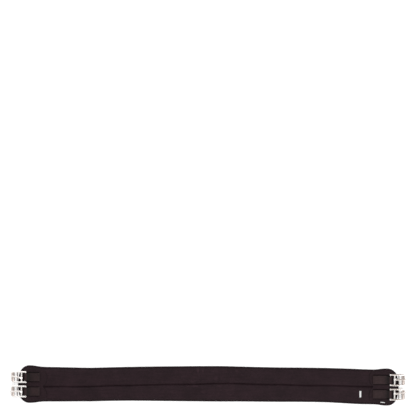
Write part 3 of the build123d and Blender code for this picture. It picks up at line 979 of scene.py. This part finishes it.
def build_frame(name, sign):
    """Two rails and four bars."""
    heel = joint_at(f"frame_{name}_turn")
    front_at = joint_at(f"roller_{name}_spin")
    tongue_at = joint_at(f"tongue_{name}_turn")
    front = sign * (front_at[0] - heel[0]), front_at[2] - heel[2]
    parts = ([], [])
    add_rail(parts, 1, front)
    add_rail(parts, -1, front)
    add_bar(parts, 0, 0, BAR_R)
    add_bar(parts, sign * (tongue_at[0] - heel[0]), tongue_at[2] - heel[2], TONGUE_BAR_R)
    add_bar(parts, *front, ROLLER_BAR_R)
    add_bar(parts, GUARD_X, front[1] * GUARD_X / front[0], GUARD_R)
    turn = 0 if sign > 0 else 180
    body = f"frame_{name}"
    made = steel_piece(f"buckle_{body}", "steel", parts, heel, turn, body, FRAME_STEEL)
    # the guard bar takes the darker steel: painted shade and reflection
    made.data.materials.append(GUARD_WIRE_SHADED)
    for face in made.data.polygons:
        x, y = sign * (face.center.x / MM - heel[0]), face.center.y / MM - heel[1]
        if abs(x - GUARD_X) < GUARD_R and abs(y) < WINDOW_HALF and len(face.vertices) == 4:
            face.material_index = 1


def build_roller(name):
    """A strip of steel rolled into a tube, its seam underneath."""
    section = [(ROLLER_BORE, -ROLLER_HALF + 0.1), (ROLLER_BORE + 0.1, -ROLLER_HALF)]
    for k in range(5):
        a = math.pi / 2 * k / 4
        r = ROLLER_R - ROLLER_ROUND * (1 - math.sin(a))
        section.append((r, -ROLLER_HALF + ROLLER_ROUND * (1 - math.cos(a))))
    section += [(ROLLER_R, 0.0)] + [(r, -y) for r, y in reversed(section)]
    gap = math.asin(ROLLER_SEAM / 2 / ROLLER_R)
    rings = []
    for k in range(65):
        a = -math.pi / 2 + gap + (2 * math.pi - 2 * gap) * k / 64
        rings.append([(r * math.cos(a), y, r * math.sin(a)) for r, y in section])
    parts = ([], [])
    loft(parts, rings)
    body, at = f"roller_{name}", joint_at(f"roller_{name}_spin")
    steel_piece(body, "tube", parts, at, 0, body, ROLLER_STEEL)


def build_tongue(name, turn):
    """A loose eye on the tongue bar, and a flat shank that narrows towards its rounded tip."""
    parts = ([], [])
    nose = HUB_NOSE - NOSE_ROUND
    corners = [(nose, SHANK_UNDER + z, NOSE_ROUND) for z in (NOSE_ROUND, SHANK_THICK - NOSE_ROUND)]
    outer, bore = [], []
    for depth in steps(2 * HUB_HALF, HUB_ROUND):
        inset = eased(min(depth, 2 * HUB_HALF - depth), HUB_ROUND)
        y = depth - HUB_HALF
        shape = hull((0, 0, HUB_R - inset), *[(x, z, max(r - inset, 0.05)) for x, z, r in corners])
        outer.append([(x, y, z) for x, z in shape])
        bore.append([(x, y, z) for x, z in hull((0, 0, EYE_R + 0.4 * inset))])
    loft(parts, outer + bore[::-1], closed=True)
    rings = []
    for depth in steps(SHANK_THICK, SHANK_ROUND):
        inset = max(eased(depth, SHANK_LOW_ROUND), eased(SHANK_THICK - depth, SHANK_ROUND))
        root, bend, tip = ROOT_HALF - inset, ROOT_HALF - SHANK_WAIST - inset, TIP_HALF - inset
        ring = [(SHANK_ROOT, -root), (SHANK_BEND, -bend)]
        for k in range(13):
            a = math.radians(-90 + 15 * k)
            ring.append((TONGUE_REACH - TIP_HALF + tip * math.cos(a), tip * math.sin(a)))
        ring += [(SHANK_BEND, bend), (SHANK_ROOT, root)]
        rings.append([(x, y, SHANK_UNDER + depth) for x, y in ring])
    loft(parts, rings)
    body, at = f"tongue_{name}", joint_at(f"tongue_{name}_turn")
    steel_piece(body, "steel", parts, at, turn, body, TONGUE_STEEL)


def build_buckles():
    """Frame, roller and tongue of each of the four buckles."""
    for end, sign in ENDS.items():
        for side in SIDES:
            name = f"{end}_{side}"
            build_frame(name, sign)
            build_roller(name)
            build_tongue(name, (0 if sign > 0 else 180) + SKEW.get((end, side), 0.0))


# ---- stage
VIEW_WIDTH = 1268.8  # width of what the camera sees, in the plane of the girth
OBJECT_BELOW_CENTRE = 541.9  # the girth lies this far below the middle of the view,
OBJECT_RIGHT_OF_CENTRE = 4.7  # and this far right of it
LENS, SENSOR = 300.0, 36.0
CAMERA_ROLL = 0.48  # degrees


FLOOR_HALF = 6.0  # metres
FLOOR_GLOW, WORLD_STRENGTH = 0.45, 0.45
WHITE = (1, 1, 1, 1)
DIM_ROOM = (0.36, 0.30, 0.27, 1)
LAMPS = {  # place and size in metres, watts
    "key": ((-0.9, 1.6, 2.6), (1.8, 1.2), 26),
    "fill": ((1.5, -1.2, 2.4), (1.6, 1.6), 32),
}


def build_floor():
    """A white floor that keeps the girth's shadow and looks white to the camera and in the metal."""
    mesh, size = bpy.data.meshes.new("floor"), FLOOR_HALF
    corners = [(-size, -size, 0), (size, -size, 0), (size, size, 0), (-size, size, 0)]
    mesh.from_pydata(corners, [], [(0, 1, 2, 3)])
    floor = bpy.data.objects.new("floor", mesh)
    bpy.context.scene.collection.objects.link(floor)
    material, tree, bsdf = shader("floor_white")
    bsdf.inputs["Base Color"].default_value = (0.92, 0.92, 0.92, 1)
    bsdf.inputs["Roughness"].default_value = 0.9
    bsdf.inputs["Specular IOR Level"].default_value = 0.0
    path = tree.nodes.new("ShaderNodeLightPath")
    rays = compute(tree, "MAXIMUM", path.outputs["Is Camera Ray"], path.outputs["Is Glossy Ray"])
    tree.links.new(rays, bsdf.inputs["Emission Strength"])
    bsdf.inputs["Emission Color"].default_value = (FLOOR_GLOW, FLOOR_GLOW, FLOOR_GLOW, 1)
    mesh.materials.append(material)


def build_world():
    """White all round. Only in reflections, one side is dim and warm.

    The dim side, overhead and to the right, stands for no known object. Its place, depth and colour were tuned
    to the steel in the photograph.
    """
    world = bpy.data.worlds.new("studio")
    world.use_nodes = True
    tree = world.node_tree
    background = tree.nodes["Background"]
    where = tree.nodes.new("ShaderNodeTexCoord")
    split = tree.nodes.new("ShaderNodeSeparateXYZ")
    tree.links.new(where.outputs["Generated"], split.inputs[0])
    right = split.outputs["X"]
    starts = remap(tree, right, -0.03, 0.06, kind="SMOOTHSTEP")
    fades = remap(tree, right, 0.20, 0.45, 1.0, 0.35, "SMOOTHSTEP")
    room = mix_colour(tree, compute(tree, "MULTIPLY", starts, fades), WHITE, DIM_ROOM)
    path = tree.nodes.new("ShaderNodeLightPath")
    glossy = path.outputs["Is Glossy Ray"]
    seen = compute(tree, "MAXIMUM", path.outputs["Is Camera Ray"], path.outputs["Is Transmission Ray"])
    strength = remap(tree, compute(tree, "MAXIMUM", seen, glossy), 0.0, 1.0, WORLD_STRENGTH, 1.0)
    tree.links.new(strength, background.inputs["Strength"])
    tree.links.new(mix_colour(tree, glossy, WHITE, room), background.inputs["Color"])
    bpy.context.scene.world = world


def build_lamps():
    """Two large soft lamps that face the middle of the girth."""
    for name, (at, size, watts) in LAMPS.items():
        data = bpy.data.lights.new(name, "AREA")
        data.shape = "RECTANGLE"
        data.size, data.size_y = size
        data.energy = watts
        lamp = bpy.data.objects.new(name, data)
        bpy.context.scene.collection.objects.link(lamp)
        lamp.location = at
        lamp.rotation_euler = (-Vector(at)).to_track_quat("-Z", "Y").to_euler()


def build_camera():
    """Straight above, far off with a long lens, the girth below the middle of the view."""
    scene = bpy.context.scene
    data = bpy.data.cameras.new("camera")
    data.lens = LENS
    data.sensor_width = SENSOR
    data.clip_end = 100
    camera = bpy.data.objects.new("camera", data)
    scene.collection.objects.link(camera)
    distance = VIEW_WIDTH * LENS / SENSOR
    camera.location = (-OBJECT_RIGHT_OF_CENTRE * MM, OBJECT_BELOW_CENTRE * MM, (COVER_TOP + distance) * MM)
    camera.rotation_euler = (0, 0, math.radians(CAMERA_ROLL))
    scene.camera = camera
    scene.view_settings.view_transform = "Standard"


build_cover()
build_binding()
build_lining()
for end_name, end_sign in ENDS.items():
    build_patch(end_name, end_sign)
    for side_name in SIDES:
        build_chape(end_name, side_name)
build_label("brand_label_blank", "brand_label", (5.4, 19.4), turn=0.0, curl=0.25, moved=(0.7, 0))
build_label("size_tag_blank", "size_tag", (13.7, 2.4), turn=-5.5, curl=0.2, moved=(0.6, -0.6))
build_buckles()
build_floor()
build_world()
build_lamps()
build_camera()
